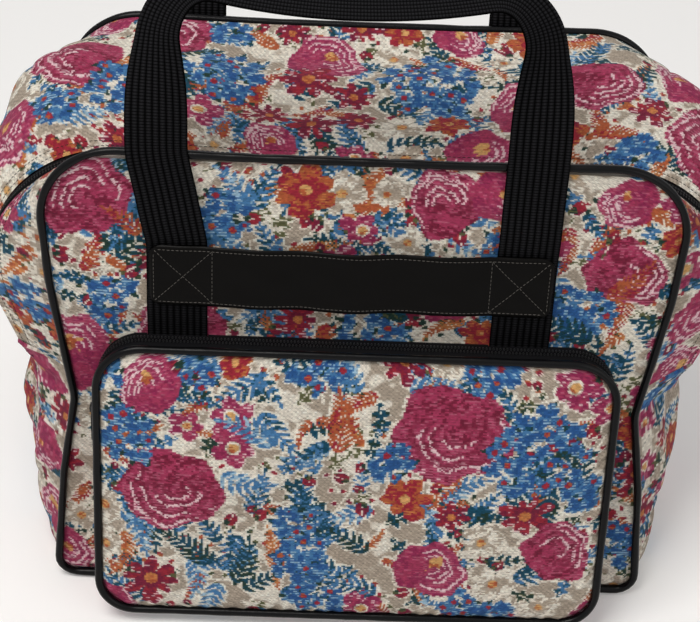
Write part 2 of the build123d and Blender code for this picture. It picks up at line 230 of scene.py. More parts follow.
def cad_tree(node):
    """Search tree of a CAD node."""
    return tree_of(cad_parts[node].data)


def cast(tree, starts, ways):
    """First points that rays meet, with rows of NaN where they meet nothing."""
    starts, ways = np.broadcast_arrays(starts, ways)
    places = (tree.ray_cast(Vector(start), Vector(way))[0] for start, way in zip(starts, ways))
    return np.array([[np.nan] * 3 if place is None else list(place) for place in places])


def met(hits):
    """Points of the rays that meet something."""
    return hits[~np.isnan(hits[:, 0])]


def cut_outline(tree, cut, start, stop, count):
    """Outer edge of a shape in an upright or leaning cut, between two angles about the join."""
    foot, slope = cut
    angles = np.radians(np.linspace(start, stop, count))
    middle = np.array([0, foot + join_height * slope, join_height])
    ways = np.stack([np.cos(angles), slope * np.sin(angles), np.sin(angles)], 1)
    return met(cast(tree, middle + ray_start * ways, -ways))


def front_outline(node, middle, out, start, stop, count):
    """Outer edge of a CAD node at a distance out from the front, between two angles about a middle."""
    angles = np.radians(np.linspace(start, stop, count))
    starts = front_point(ray_start * np.cos(angles), middle + ray_start * np.sin(angles), out)
    return met(cast(cad_tree(node), starts, unit(front_point(0.0, middle, out) - starts)))


def lengths_along(line):
    """Length of a line up to each of its points."""
    return np.concatenate([[0], np.cumsum(np.linalg.norm(np.diff(line, axis=0), axis=1))])


def along_line(places, lengths, rows):
    """Rows of values at places along a line, from the rows at its points."""
    return np.stack([np.interp(places, lengths, column) for column in rows.T], 1)


def resample(line, count, closed=False):
    """Points spaced evenly along a line."""
    if closed:
        line = np.vstack([line, line[:1]])
    lengths = lengths_along(line)
    return along_line(np.linspace(0, lengths[-1], count + closed)[:count], lengths, line)


def length_of(line):
    """Length of a line of points."""
    return np.linalg.norm(np.diff(line, axis=0), axis=1).sum()


# Meshes
def mesh_piece(name, points, faces, material, replaced=()):
    """A smooth mesh of quads that rides on the bag and stands for the CAD nodes it replaces."""
    points = np.asarray(points, float).reshape(-1, 3) * metre
    faces = np.asarray(faces).reshape(-1, 4)
    mesh = bpy.data.meshes.new(name)
    mesh.vertices.add(len(points))
    mesh.vertices.foreach_set("co", points.ravel())
    mesh.loops.add(faces.size)
    mesh.loops.foreach_set("vertex_index", faces.ravel())
    mesh.polygons.add(len(faces))
    mesh.polygons.foreach_set("loop_start", np.arange(len(faces)) * 4)
    mesh.update(calc_edges=True)
    mesh.polygons.foreach_set("use_smooth", np.ones(len(faces), bool))
    mesh.materials.append(material)
    piece = bpy.data.objects.new(name, mesh)
    bpy.context.scene.collection.objects.link(piece)
    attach(piece, "bag")
    if replaced:
        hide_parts(*replaced)
    return piece


def grid_faces(rows, columns, around=False, closed=False):
    """Quads of a grid. Around joins its last column to the first, closed its last row to the first."""
    index = np.arange(rows * columns).reshape(rows, columns)
    if around:
        index = np.concatenate([index, index[:, :1]], 1)
    if closed:
        index = np.concatenate([index, index[:1]], 0)
    return np.stack([index[:-1, :-1], index[:-1, 1:], index[1:, 1:], index[1:, :-1]], -1).reshape(-1, 4)


def set_uv(piece, places):
    """Puts flat places of the points on a mesh as its UV, in metres."""
    mesh = piece.data
    corner = np.zeros(len(mesh.loops), int)
    mesh.loops.foreach_get("vertex_index", corner)
    flat = np.asarray(places, float).reshape(-1, 2)[corner] * metre
    mesh.uv_layers.new(name="flat").data.foreach_set("uv", flat.ravel())


def rings_about(travel, guide, sides):
    """Unit vectors round a line, square to its travel at each point."""
    first = unit(np.cross(travel, guide))
    second = np.cross(travel, first)
    turns = (np.arange(sides) * 2 * pi / sides)[None, :, None]
    return first[:, None] * np.cos(turns) + second[:, None] * np.sin(turns)


def capsules(name, starts, ends, thickness, material):
    """Many short rounded threads in one mesh, each from a start to an end."""
    ring = rings_about(unit(ends - starts), (0.31, 0.42, 0.85), 6)
    sections = []
    for share, swell in ((0.0, 0.05), (0.12, 0.75), (0.5, 1.0), (0.88, 0.75), (1.0, 0.05)):
        centre = starts + (ends - starts) * share
        sections.append(centre[:, None] + swell * thickness / 2 * ring)
    points = np.stack(sections, 1)
    count, rows, sides = points.shape[:3]
    faces = (np.arange(count) * rows * sides)[:, None, None] + grid_faces(rows, sides, around=True)
    return mesh_piece(name, points, faces, material)


# Materials
def add_node(tree, kind, values, **settings):
    """A new node with its settings, and a constant or another node's output for each input."""
    node = tree.nodes.new("ShaderNode" + kind)
    for name, value in settings.items():
        setattr(node, name, value)
    for name, value in values.items():
        connect(tree, value, node.inputs[name])
    return node


def connect(tree, value, socket):
    """Links a node's output to a socket, or sets a constant on it."""
    if isinstance(value, bpy.types.NodeSocket):
        tree.links.new(value, socket)
    else:
        socket.default_value = value


def calculated(tree, operation, first, second=0):
    """Output of a sum on two values."""
    return add_node(tree, "Math", {0: first, 1: second}, operation=operation).outputs["Value"]


def shader(name, colour, roughness, specular):
    """A material, its node tree and the inputs of its principled shader."""
    material = bpy.data.materials.new(name)
    material.use_nodes = True
    tree = material.node_tree
    inputs = tree.nodes["Principled BSDF"].inputs
    inputs["Base Color"].default_value = (*colour, 1)
    inputs["Roughness"].default_value = roughness
    inputs["Specular IOR Level"].default_value = specular
    return material, tree, inputs


def bump(tree, inputs, height, distance, strength=1.0):
    """Puts a bump of the given depth in millimetres on a surface."""
    values = {"Strength": strength, "Distance": distance * metre, "Height": height}
    tree.links.new(add_node(tree, "Bump", values).outputs["Normal"], inputs["Normal"])


def flat_uv(tree):
    """Place in the flat cloth or webbing, in metres."""
    return add_node(tree, "UVMap", {}, uv_map="flat").outputs["UV"]


def tapestry_material():
    """Jacquard cloth: each woven float has its colour on the mesh, and a brick weave gives relief."""
    material, tree, inputs = shader("floral_tapestry", (0.5, 0.5, 0.5), 0.85, 0.1)
    bricks = {
        "Vector": flat_uv(tree),
        "Color1": (1, 1, 1, 1),
        "Color2": (0.75, 0.75, 0.75, 1),
        "Mortar": (0, 0, 0, 1),
        "Scale": 1,
        "Mortar Size": weave_height * metre * 0.16,
        "Mortar Smooth": 1,
        "Brick Width": weave_width * metre,
        "Row Height": weave_height * metre,
    }
    floats = add_node(tree, "TexBrick", bricks).outputs["Color"]
    colour = add_node(tree, "VertexColor", {}, layer_name="yarn").outputs["Color"]
    mixed = {"Factor": 0.38, "A": colour, "B": floats}
    shade = add_node(tree, "Mix", mixed, data_type="RGBA", blend_type="MULTIPLY")
    tree.links.new(shade.outputs["Result"], inputs["Base Color"])
    inputs["Sheen Weight"].default_value = 0.08
    inputs["Sheen Roughness"].default_value = 0.4
    bump(tree, inputs, floats, 0.25, 0.8)
    return material


def swells(tree, place, pitch, sharpness):
    """Rounded rises at a pitch in millimetres, from 0 in the gaps to 1 on their tops."""
    turn = calculated(tree, "MULTIPLY", place, pi / (pitch * metre))
    wave = calculated(tree, "ABSOLUTE", calculated(tree, "SINE", turn))
    return calculated(tree, "POWER", wave, sharpness)


def webbing_material():
    """Black webbing: ribs along it, each of bars across it, with painted shade darkening the gaps between
    them.
    """
    material, tree, inputs = shader("black_webbing", (0.5, 0.5, 0.5), 0.6, 0.01)
    sides = add_node(tree, "SeparateXYZ", {"Vector": flat_uv(tree)}).outputs
    ribs = swells(tree, sides["X"], rib_width, 1.2)
    rise = calculated(tree, "MULTIPLY", ribs, swells(tree, sides["Y"], bar_pitch, 0.8))
    # Colour runs from near black in the gaps to the webbing's dark grey on the tops of ribs and bars:
    # painted shade in the grooves.
    gap_shade_tones = {"Factor": rise, "A": (0.0003, 0.0003, 0.0003, 1), "B": (0.016, 0.016, 0.018, 1)}
    gap_shade = add_node(tree, "Mix", gap_shade_tones, data_type="RGBA")
    tree.links.new(gap_shade.outputs["Result"], inputs["Base Color"])
    bump(tree, inputs, rise, 0.5, 0.8)
    return material


def plain_material(name, colour, roughness, specular, grain=0, depth=0.0):
    """A plain finish, with a fine grain where one is given in grains to the metre."""
    material, tree, inputs = shader(name, colour, roughness, specular)
    if grain:
        place = add_node(tree, "NewGeometry", {}).outputs["Position"]
        noise = add_node(tree, "TexNoise", {"Scale": grain, "Detail": 3, "Vector": place})
        bump(tree, inputs, noise.outputs["Fac"], depth)
    return material


tapestry = tapestry_material()
webbing = webbing_material()
vinyl = plain_material("piping_vinyl", (0.003, 0.003, 0.0035), 0.22, 0.13, 500, 0.12)
tape_cloth = plain_material("zip_tape_cloth", (0.006, 0.006, 0.007), 0.85, 0.06, 1600, 0.3)
nylon = plain_material("zip_nylon", (0.008, 0.008, 0.009), 0.4, 0.2)
slider_paint = plain_material("slider_paint", (0.015, 0.015, 0.016), 0.35, 0.4)
pull_cover = plain_material("pull_cover", (0.008, 0.008, 0.008), 0.5, 0.15, 900, 0.2)
patch_vinyl = plain_material("patch_vinyl", (0.0025, 0.0022, 0.002), 0.3, 0.06, 1100, 0.05)
dark_thread = plain_material("dark_thread", (0.015, 0.014, 0.013), 0.7, 0.15)
brown_thread = plain_material("brown_thread", (0.085, 0.078, 0.070), 0.7, 0.3)

# Pattern of the cloth. Roses: outer, inner and pale yarn, and heart.
roses = {
    "rose": (("rose", "deep", "blush"), ""),
    "gold_rose": (("rose", "magenta", "blush"), "gold"),
}
# Flowers: petals, yarns, eye, halo, depth of the splits between petals, and ring round the eye
flowers = {
    "daisy": (8, ("red", "deep", "blush"), "orange", 2.0, 0.68, ""),
    "poppy": (6, ("rust", "red", "orange"), "gold", 2.0, 0.4, ""),
    "magenta_flower": (5, ("rose", "magenta", "blush"), "gold", 2.0, 0.45, "cream"),
    "white_flower": (7, ("cream", "taupe", "cream"), "gold", 2.0, 0.3, ""),
}
# Fronds: bend, yarns, width of a leaflet and its reach as a share of the frond's length
fronds = {
    "fern": (0.6, ("teal", "green"), 3.6, 0.42),
    "blue_fern": (0.6, ("blue", "sky"), 4.2, 0.45),
    "sprig": (0.5, ("rust", "red"), 2.6, 0.42),
}


def pairs(names):
    """Pairs of yarns, from their names with a stroke between."""
    return [tuple(pair.split("/")) for pair in names.split()]


# Yarns of scattered stems' berries, leaves, fronds and buds
berry_yarns = pairs("red/deep green/olive rust/red")
leaf_yarns = pairs("teal/green green/olive olive/cream blue/teal cream/olive")
frond_yarns = pairs("teal/green blue/teal rust/orange rust/red teal/blue blue/sky")
bud_yarns = pairs("red/deep deep/red")
# Square millimetres of cloth to a stem, a leaf, a frond, a bud and a try at a larger flower
stem_area, leaf_area, frond_area, bud_area, try_area = 1700, 1500, 850, 1900, 60
# Larger flowers to scatter: kind, how often, least and greatest size
scattered = (
    ("rose", 0.22, 26, 36),
    ("gold_rose", 0.18, 18, 24),
    ("daisy", 0.13, 13, 18),
    ("poppy", 0.09, 13, 17),
    ("blue", 0.14, 12, 26),
    ("magenta_flower", 0.12, 13, 18),
    ("white_flower", 0.12, 12, 17),
)


def picked(mask, colour, other):
    """A colour where the mask is set, and the other one elsewhere."""
    return np.where(mask[..., None], colour, other)


class Cloth:
    """Woven floats of one piece of cloth: where each lies in the flat cloth, and its yarn's colour."""

    def __init__(self, across, up, seed):
        """Starts with the ground, a taupe twill with cream blotches."""
        self.across = across
        self.up = up
        self.random = np.random.default_rng(seed)
        count, width = across.shape
        self.grain = self.random.random((count, width))
        self.dash = np.repeat(self.random.random((count, width // 2 + 1)), 2, axis=1)[:, :width]
        self.rows = up[:, width // 2]
        row, column = np.indices(across.shape)
        self.odd = row % 2 == 1
        self.figure = np.zeros(across.shape, bool)
        places = flat_places(across, up)
        self.mottle = waves(places, 13, seed + 100) + 0.6 * waves(places, 5, seed + 200)
        pale = smoothstep(waves(places, 42, 5) + 0.7 * waves(places, 14, 6), 0.2, 0.8)[..., None]
        self.colour = yarn["taupe"] * (1 - pale) + yarn["cream"] * pale
        self.colour *= 1 - 0.13 * ((row + column) % 3 == 0)[..., None]

    def near(self, across, up, reach):
        """Window of the grid within reach of a place, and places in it measured from there."""
        top, foot = np.searchsorted(self.rows, (up - reach, up + reach))
        if foot <= top:
            return None
        line = self.across[min((top + foot) // 2, len(self.rows) - 1)]
        slack = reach + 8
        left, right = np.searchsorted(line, (across - slack, across + slack))
        if right <= left:
            return None
        window = (slice(top, foot), slice(left, right))
        return window, self.across[window] - across, self.up[window] - up

    def lay(self, window, mask, colour, figure=True):
        """Weaves a colour, or a colour for each float, where the mask is set."""
        self.colour[window][mask] = colour[mask] if np.ndim(colour) == 3 else colour
        if figure:
            self.figure[window] |= mask

    def speckled(self, window, main, second, share):
        """Floats of one yarn with dashes and blotches of a second one among them."""
        mixed = self.dash[window] < share * (1 + 1.2 * np.clip(self.mottle[window], -0.8, 1.2))
        return picked(mixed, yarn[second], yarn[main])

    def halo(self, window, mask):
        """Weaves cream round a motif where the ground still shows."""
        ragged = mask & ~self.figure[window] & (self.dash[window] < 0.8)
        self.lay(window, ragged, yarn["cream"], figure=False)

    def leaf(self, across, up, length, width, angle, yarns, halo=1.6, lobes=0):
        """One leaf from its stalk, hatched in two yarns, with a lobed edge where lobes are given."""
        found = self.near(across, up, length + halo + 1)
        if not found:
            return
        window, side, rise = found
        along = side * cos(angle) + rise * sin(angle)
        aside = np.abs(-side * sin(angle) + rise * cos(angle))
        share = np.clip(along / length, 0, 1)
        half = width / 2 * np.sin(pi * share**0.8) ** 0.75
        if lobes:
            half = half * (0.62 + 0.38 * np.cos(2 * pi * lobes * share + 0.8))
        inside = (along > 0) & (along < length)
        self.halo(window, (along > -halo) & (along < length + halo) & (aside < half + halo))
        self.lay(window, inside & (aside < half), self.speckled(window, *yarns, 0.32))
        if width > 5:
            self.lay(window, inside & (aside < 0.5) & (self.dash[window] < 0.6), yarn["cream"])

    def frond(self, across, up, length, angle, bend, yarns, width, reach):
        """A curved stem with pairs of leaflets that get smaller towards its tip."""
        leaves = max(4, int(length / (1.5 * width)))
        step = length / leaves
        for index in range(leaves):
            share = index / leaves
            size = length * reach * (1 - 0.7 * share) * (0.6 + 0.4 * min(1, 4 * share + 0.3))
            for way in (-1, 1):
                self.leaf(across, up, size, width * (1 - 0.35 * share), angle + way * 0.8, yarns)
            self.leaf(across, up, step * 1.3, 1.6, angle, yarns, 0.8)
            across += step * cos(angle)
            up += step * sin(angle)
            angle += bend / leaves
        self.leaf(across, up, length * reach * 0.4, width * 0.8, angle, yarns)

    def stem(self, across, up, length, angle, bend, berry):
        """A thin cream stem with small berries on both sides."""
        steps = int(length / 3)
        for index in range(steps):
            self.leaf(across, up, 5, 1.7, angle, ("cream", "cream"), 0)
            if index % 2:
                turn = angle + (1 if index % 4 == 1 else -1) * 1.1
                self.leaf(across + 2.5 * cos(turn), up + 2.5 * sin(turn), 4.5, 3.2, turn, berry, 0.8)
            across += 3 * cos(angle)
            up += 3 * sin(angle)
            angle += bend / steps

    def flower(self, across, up, radius, turn, petals, yarns, eye, halo, split=0.45, ring=""):
        """A flower from above: uneven split petals, pale strokes and a small eye."""
        found = self.near(across, up, radius * 1.25 + halo)
        if not found:
            return
        window, side, rise = found
        away = np.hypot(side, rise)
        angle = np.arctan2(rise, side) - turn
        turned = (angle + 0.15 * np.sin(2 * angle + turn)) % (2 * pi) * petals / (2 * pi)
        lengths = self.random.uniform(0.80, 1.12, petals)[turned.astype(int) % petals]
        lobe = np.sin(pi * (turned % 1))
        edge = radius * lengths * (1 - split + split * lobe**0.6) + 0.7 * self.mottle[window]
        self.halo(window, away < edge + halo)
        outer, inner, pale = yarns
        dash, odd = self.dash[window], self.odd[window]
        petal = self.speckled(window, outer, inner, 0.35)
        petal = picked((away < 0.42 * edge) | (lobe < 0.22), yarn[inner], petal)
        if outer == "rose":
            petal = picked(~odd & (dash > 0.6), yarn["pink"], petal)
        strokes = odd & (away > 0.55 * edge) & (dash > (0.6 if pale == "sky" else 0.76))
        self.lay(window, away < edge, picked(strokes, yarn[pale], petal))
        if ring:
            self.lay(window, away < radius * 0.33, self.speckled(window, ring, "taupe", 0.3))
        second = eye if eye == "navy" else "rust"
        middle = radius * (0.22 if radius > 8 else 0.32)
        self.lay(window, away < middle, self.speckled(window, eye, second, 0.25))

    def rose(self, across, up, radius, turn, yarns, heart):
        """A full rose with a lobed edge: hatched petals, dark folds and broken pale arcs."""
        found = self.near(across, up, radius * 1.3 + 3)
        if not found:
            return
        window, side, rise = found
        outer, inner, pale = yarns
        dash, odd = self.dash[window], self.odd[window]
        angle = np.arctan2(rise, side)
        lobes = 0.07 * np.sin(2 * angle + turn) + 0.06 * np.sin(3 * angle + 2.3 * turn)
        lobes += 0.05 * np.sin(5 * angle + 4.1 * turn) + 0.035 * np.sin(8 * angle + turn)
        winding = np.hypot(side, rise) / radius * (1 + lobes) + 0.05 * (dash - 0.5)
        self.halo(window, winding < 1 + 2.2 / radius)
        facing = np.cos(angle - turn)
        petal = self.speckled(window, outer, inner, 0.30)
        petal = picked(~odd & (dash > 0.48 - 0.3 * facing), yarn["pink"], petal)
        for level in (0.26, 0.44, 0.62, 0.82):
            heading = turn + self.random.uniform(-0.9, 0.9)
            near_arc = np.cos(angle - heading) > self.random.uniform(-0.4, 0.5)
            offset = winding - level - 0.10 * np.sin(angle - heading)
            fold = (offset < 0) & (offset > -0.10) & (facing > -0.6)
            petal = picked(fold, 0.5 * yarn[inner] + 0.5 * petal, petal)
            stroke = near_arc & (np.abs(offset) < 0.9 / radius) & (self.grain[window] > 0.15)
            petal = picked(stroke, yarn[pale], petal)
        flames = (winding > 0.84) & (facing > 0.35) & odd & (dash > 0.78)
        self.lay(window, winding < 1, picked(flames, yarn[pale], petal))
        if heart:
            middle = np.hypot(side - 0.14 * radius * cos(turn), rise - 0.2 * radius) / radius
            middle = middle + 0.05 * self.mottle[window]
            self.lay(window, middle < 0.2, self.speckled(window, heart, "rust", 0.5))

    def cluster(self, across, up, radius):
        """A close bunch of small blue flowers with red or navy eyes on dark green."""
        random = self.random
        placed = []
        for _ in range(260):
            spread = radius * random.random() ** 0.5
            heading = random.uniform(0, 2 * pi)
            place = (across + spread * cos(heading), up + spread * sin(heading))
            if all(hypot(place[0] - x, place[1] - y) > 8.8 for x, y in placed):
                placed.append(place)
        for x, y in placed:
            self.leaf(x, y, 10, 4.5, random.uniform(0, 2 * pi), ("green", "teal"), 1.5)
        for x, y in placed:
            yarns = ("blue", "navy", "sky") if random.random() < 0.6 else ("navy", "blue", "sky")
            size = random.uniform(5.5, 8)
            eye = "red" if random.random() < 0.4 else "navy"
            self.flower(x, y, size, random.uniform(0, 2), 5, yarns, eye, 0.8)

    def bud(self, across, up, size, angle, yarns):
        """A closed bud on a short green stalk."""
        foot = across - size * cos(angle), up - size * sin(angle)
        self.leaf(*foot, size, 1.8, angle, ("cream", "olive"), 0.6)
        self.leaf(across, up, size, size * 0.8, angle, yarns)
        self.leaf(across, up, size * 0.5, size * 0.35, angle + 0.6, ("green", "olive"), 0.5)

    def fill(self, low, high, taken, density):
        """Scatters stems, fronds, leaves and flowers between two corners of the flat cloth."""
        random = self.random
        area = (high[0] - low[0]) * (high[1] - low[1]) * density

        def spots(count):
            for _ in range(int(count)):
                yield random.uniform(low[0], high[0]), random.uniform(low[1], high[1])

        def turned():
            return random.uniform(0, 2 * pi), random.uniform(-1.2, 1.2)

        def pick(choices):
            return choices[random.integers(len(choices))]

        for x, y in spots(area / stem_area):
            self.stem(x, y, random.uniform(24, 40), *turned(), pick(berry_yarns))
        for x, y in spots(area / leaf_area):
            yarns = pick(leaf_yarns)
            size = random.uniform(16, 26), random.uniform(10, 15)
            self.leaf(x, y, *size, random.uniform(0, 2 * pi), yarns, lobes=3)
        for x, y in spots(area / frond_area):
            yarns = pick(frond_yarns)
            leaflet = (2.0, 0.32) if yarns[0] == "rust" else (3.6, 0.44)
            self.frond(x, y, random.uniform(20, 40), *turned(), yarns, *leaflet)
        for x, y in spots(area / bud_area):
            self.bud(x, y, random.uniform(7, 13), random.uniform(0, 2 * pi), pick(bud_yarns))
        kept = list(taken)
        for _ in range(int(area / try_area)):
            index = random.choice(len(scattered), p=[often for _, often, _, _ in scattered])
            kind, _, least, greatest = scattered[index]
            size = random.uniform(least, greatest)
            x, y = next(spots(1))
            if any(hypot(x - a, y - b) < 0.97 * (size + r) for a, b, r in kept):
                continue
            kept.append((x, y, size))
            self.motif(kind, x, y, size)

    def motif(self, kind, across, up, size):
        """One motif by its kind: a larger flower, a cluster, a frond or a bud."""
        turn = self.random.uniform(0, 2 * pi)
        if kind in roses:
            self.rose(across, up, size, turn, *roses[kind])
        elif kind in flowers:
            self.flower(across, up, size, turn, *flowers[kind])
        elif kind in fronds:
            self.frond(across, up, size, turn / 3 + 0.5, *fronds[kind])
        elif kind == "blue":
            self.cluster(across, up, size)
        elif kind == "bud":
            self.bud(across, up, size, 1.2, ("red", "deep"))

    def finished(self):
        """Colours with the small differences from float to float and from row to row."""
        shade = 0.86 + 0.22 * self.grain + 0.06 * self.odd
        return np.clip(self.colour * shade[..., None], 0, 1)


def weave(piece, cloth, shown):
    """Puts a cloth's colours on the faces of its piece, one to a float, softened where floats meet."""
    floats = cloth.finished()
    shared = middles(np.pad(floats, ((1, 1), (1, 1), (0, 0)), mode="edge"))
    corners = np.stack([shared[:-1, :-1], shared[:-1, 1:], shared[1:, 1:], shared[1:, :-1]], 2)
    colours = float_softness * corners + (1 - float_softness) * floats[:, :, None]
    colours = colours.reshape(-1, 4, 3)[shown].reshape(-1, 3)
    colours = np.concatenate([colours, np.ones((len(colours), 1))], 1)
    layer = piece.data.color_attributes.new("yarn", "BYTE_COLOR", "CORNER")
    layer.data.foreach_set("color_srgb", colours.ravel())


def cloth_piece(name, points, across, up, seed, replaced, majors=(), density=1.0, shown=None):
    """
    A piece of tapestry over a grid of points, with its main motifs and the rest of its pattern.
    Shown says which quads are made, where some lie behind another piece.
    """
    faces = grid_faces(*points.shape[:2])
    if shown is None:
        shown = np.ones(len(faces), bool)
    piece = mesh_piece(name, points, faces[shown], tapestry, replaced)
    set_uv(piece, np.stack([across - across.min(), up - up.min()], -1))
    cloth = Cloth(middles(across), middles(up), seed)
    taken = [(x, y, size) for _, x, y, size in majors]
    cloth.fill((across.min(), up.min()), (across.max(), up.max()), taken, density)
    for kind, x, y, size in majors:
        cloth.motif(kind, x, y, size)
    weave(piece, cloth, shown)
    width, height = (
        max(length_of(line) for line in grid[:: max(1, len(grid) // 8)])
        for grid in (points, np.swapaxes(points, 0, 1))
    )
    sides = np.cross(points[1:, 1:] - points[:-1, :-1], points[1:, :-1] - points[:-1, 1:])
    area = np.linalg.norm(sides, axis=-1).ravel()[shown].sum() / 2
    area = min(area, width * height)


# Relief of the panels. Folds start at the piping: place across and up, heading, length, width and rise.
front_folds = (
    (-208, 240, 0.15, 60, 7, 2.6),
    (-204, 214, -0.30, 46, 6, -2.2),
    (-202, 190, 0.35, 40, 7, 2.2),
    (-214, 290, -0.45, 52, 8, 1.9),
    (206, 262, 2.85, 58, 8, 2.4),
    (203, 232, 3.35, 50, 6, -2.0),
    (203, 205, 2.75, 46, 7, 2.4),
    (212, 306, 3.60, 60, 9, 1.9),
)


def folds(across, height):
    """Ridges and hollows that run in from their starts on the front and fade."""
    total = 0 * across
    for left, foot, heading, length, width, rise in front_folds:
        along = (across - left) * cos(heading) + (height - foot) * sin(heading)
        aside = (height - foot) * cos(heading) - (across - left) * sin(heading)
        spread = width * (1 + np.clip(along, 0, length) / length)
        ridge = rise * np.exp(-((aside / spread) ** 2)) * smoothstep(along, -12, 8)
        total = total + ridge * np.exp(-np.maximum(along, 0) / length)
    return total


def panel_relief(across, height, edge):
    """How far the front's cloth stands out, from its place and its distance from the piping."""
    places = flat_places(across, height)
    soft = 1.6 * waves(places, 140, 11) + 0.8 * waves(places, 55, 12) + folds(across, height)
    beside_pocket = np.maximum(np.abs(across) - pocket_half, height - pocket_top)
    soft = soft * smoothstep(beside_pocket, 3, 28)
    pucker = 0.8 * np.sin((across + height) / 2.3 + 3 * waves(places, 70, 13)) * np.exp(-edge / 12)
    return soft * smoothstep(edge, 0, 30) + pucker - 1.4 * np.exp(-edge / 5)


def flat_grid(heights, half, way=1):
    """Places across and up of a panel's grid from its half widths, and their distance from its rim."""
    columns = int(2 * np.nanmax(half) / float_width)
    across = np.linspace(-1, 1, columns) * way * half[:, None]
    up = np.broadcast_to(heights[:, None], across.shape).copy()
    edge = np.minimum(half[:, None] - np.abs(across), np.minimum(up - heights[0], heights[-1] - up))
    return across, up, np.maximum(edge, 0)


def panel_grid(node, plane_point, way, row_height):
    """Grid of a panel's face, from its CAD edge."""
    corners = np.array([vertex.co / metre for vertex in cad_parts[node].data.vertices])
    upward = plane_point(0.0, 1.0, 0.0) - plane_point(0.0, 0.0, 0.0)
    levels = (corners - plane_point(0.0, 0.0, 0.0)) @ upward
    low, high = levels.min() + 0.4, levels.max() - 0.4
    heights = np.linspace(low, high, int((high - low) / row_height))
    half = cast(cad_tree(node), plane_point(0.0, heights, -1.2), rightward)[:, 0]
    return flat_grid(heights, half, way)


def with_hem(across, up, out):
    """A panel's grid with a hem turned back behind its piping, all round."""
    half = np.abs(across[:, -1])
    slope = np.clip(np.gradient(half, up[:, 0]), -6, 6)
    slant = np.hypot(1, slope)
    side, level = across[:, [0, -1]], up[:, [0, -1]]
    for width, depth in zip(hem_widths, hem_depths):
        aside = side + np.sign(side) * (width / slant)[:, None]
        rise = level - (slope * width / slant)[:, None]
        across = np.hstack([aside[:, :1], across, aside[:, 1:]])
        up = np.hstack([rise[:, :1], up, rise[:, 1:]])
        out = np.pad(out, ((0, 0), (1, 1)), constant_values=-depth)
    side, level, stand = across[[0, -1]], up[[0, -1]], out[[0, -1]]
    for width, depth in zip(hem_widths, hem_depths):
        across = np.vstack([side[:1], across, side[1:]])
        up = np.vstack([level[:1] - width, up, level[1:] + width])
        back = np.minimum(stand, -depth)
        out = np.vstack([back[:1], out, back[1:]])
    return across, up, out


def rim_tuck(edge):
    """How far back a panel's rim turns where it meets the piping."""
    return -0.6 * (1 - smoothstep(edge, 0, 2.4))


# Front panel. Main motifs of a cloth: kind, place across and up, and size.
across, rise, edge = panel_grid("front_panel", front_point, 1, float_height)
across, rise, out_by = with_hem(across, rise, panel_relief(across, rise, edge) + rim_tuck(edge))
front_majors = (
    ("rose", -186, 330, 31), ("gold_rose", -200, 204, 30), ("white_flower", -16, 337, 17),
    ("poppy", -40, 339, 20), ("rose", 53, 333, 25), ("gold_rose", 92, 341, 22),
    ("blue", -94, 318, 17), ("blue", -72, 268, 16), ("rose", 178, 283, 27),
    ("blue", 152, 250, 20), ("blue", -170, 250, 16), ("fern", -166, 284, 42),
    ("blue_fern", -77, 326, 34), ("bud", 165, 306, 12), ("bud", 140, 328, 12),
    ("sprig", 168, 262, 40), ("fern", 160, 226, 40), ("sprig", -150, 300, 30),
)
hidden_half = pocket_half - 8
hidden_top = pocket_top - 10
behind_pocket = (np.abs(middles(across)) < hidden_half) & (middles(rise) < hidden_top)
points = front_point(across, rise, out_by)
shown = ~behind_pocket.ravel()
cloth_piece("front_cloth", points, across, rise, 21, ["front_panel"], front_majors, 1.8, shown)
across, rise = np.meshgrid(
    np.arange(-hidden_half - 3, hidden_half + 3, 4.0), np.arange(rise.min(), hidden_top + 3, 4.0)
)
points = front_point(across, rise, -0.8)
cloth_piece("front_cloth_in_pocket", points, across, rise, 28, [], density=0.3)

# Back panel
across, rise, edge = panel_grid("back_panel", back_point, -1, 2 * float_height)
beside_straps = np.abs(np.abs(across - strap_offset) - strap_spacing / 2) - strap_width / 2
out_by = -1.6 * np.abs(waves(flat_places(across, rise), 140, 31)) * smoothstep(edge, 0, 30)
out_by = out_by * smoothstep(beside_straps, 0, 25) + rim_tuck(edge)
across, rise, out_by = with_hem(across, rise, out_by)
back_majors = (
    ("rose", -120, 250, 34), ("gold_rose", 80, 180, 33), ("blue", 10, 280, 30), ("rose", 150, 90, 32),
)
points = back_point(across, rise, out_by)
cloth_piece("back_cloth", points, -across, rise, 22, ["back_panel"], back_majors, 1.3)


# Gusset
def front_cut(depth):
    """Foot and slope of a cut at a depth behind the leaning front."""
    return -base_depth / 2 + depth / cos(lean), tan(lean)


def rear_cuts(near, rows):
    """Cuts from a depth behind the front to the back's piping."""
    first, slope = front_cut(near)
    last = back_face - edge_inset
    shares = np.linspace(0.001, 0.999, rows)
    return [(first + (last - first) * share, slope * (1 - share)) for share in shares]


def crumple(points, rise):
    """Folds of the slack gusset: long soft waves, and crumpled folds about the side's crease."""
    aside = smoothstep(np.abs(points[..., 0]), 170, 215)
    stretched = points * np.array([1.0, 0.45, 1.0])
    soft = 1.1 * waves(stretched, 120, 41) + 0.8 * waves(stretched, 48, 42)
    line = 164 + 8 * waves(points * np.array([0.2, 1, 0]), 130, 43)
    fold = -3.5 * np.exp(-(((points[..., 2] - line) / 6) ** 2))
    rumple = 1.2 * (1 - 2 * np.exp(-2.5 * np.abs(waves(stretched, 60, 44))))
    return rise * (soft + aside * (fold + rumple))


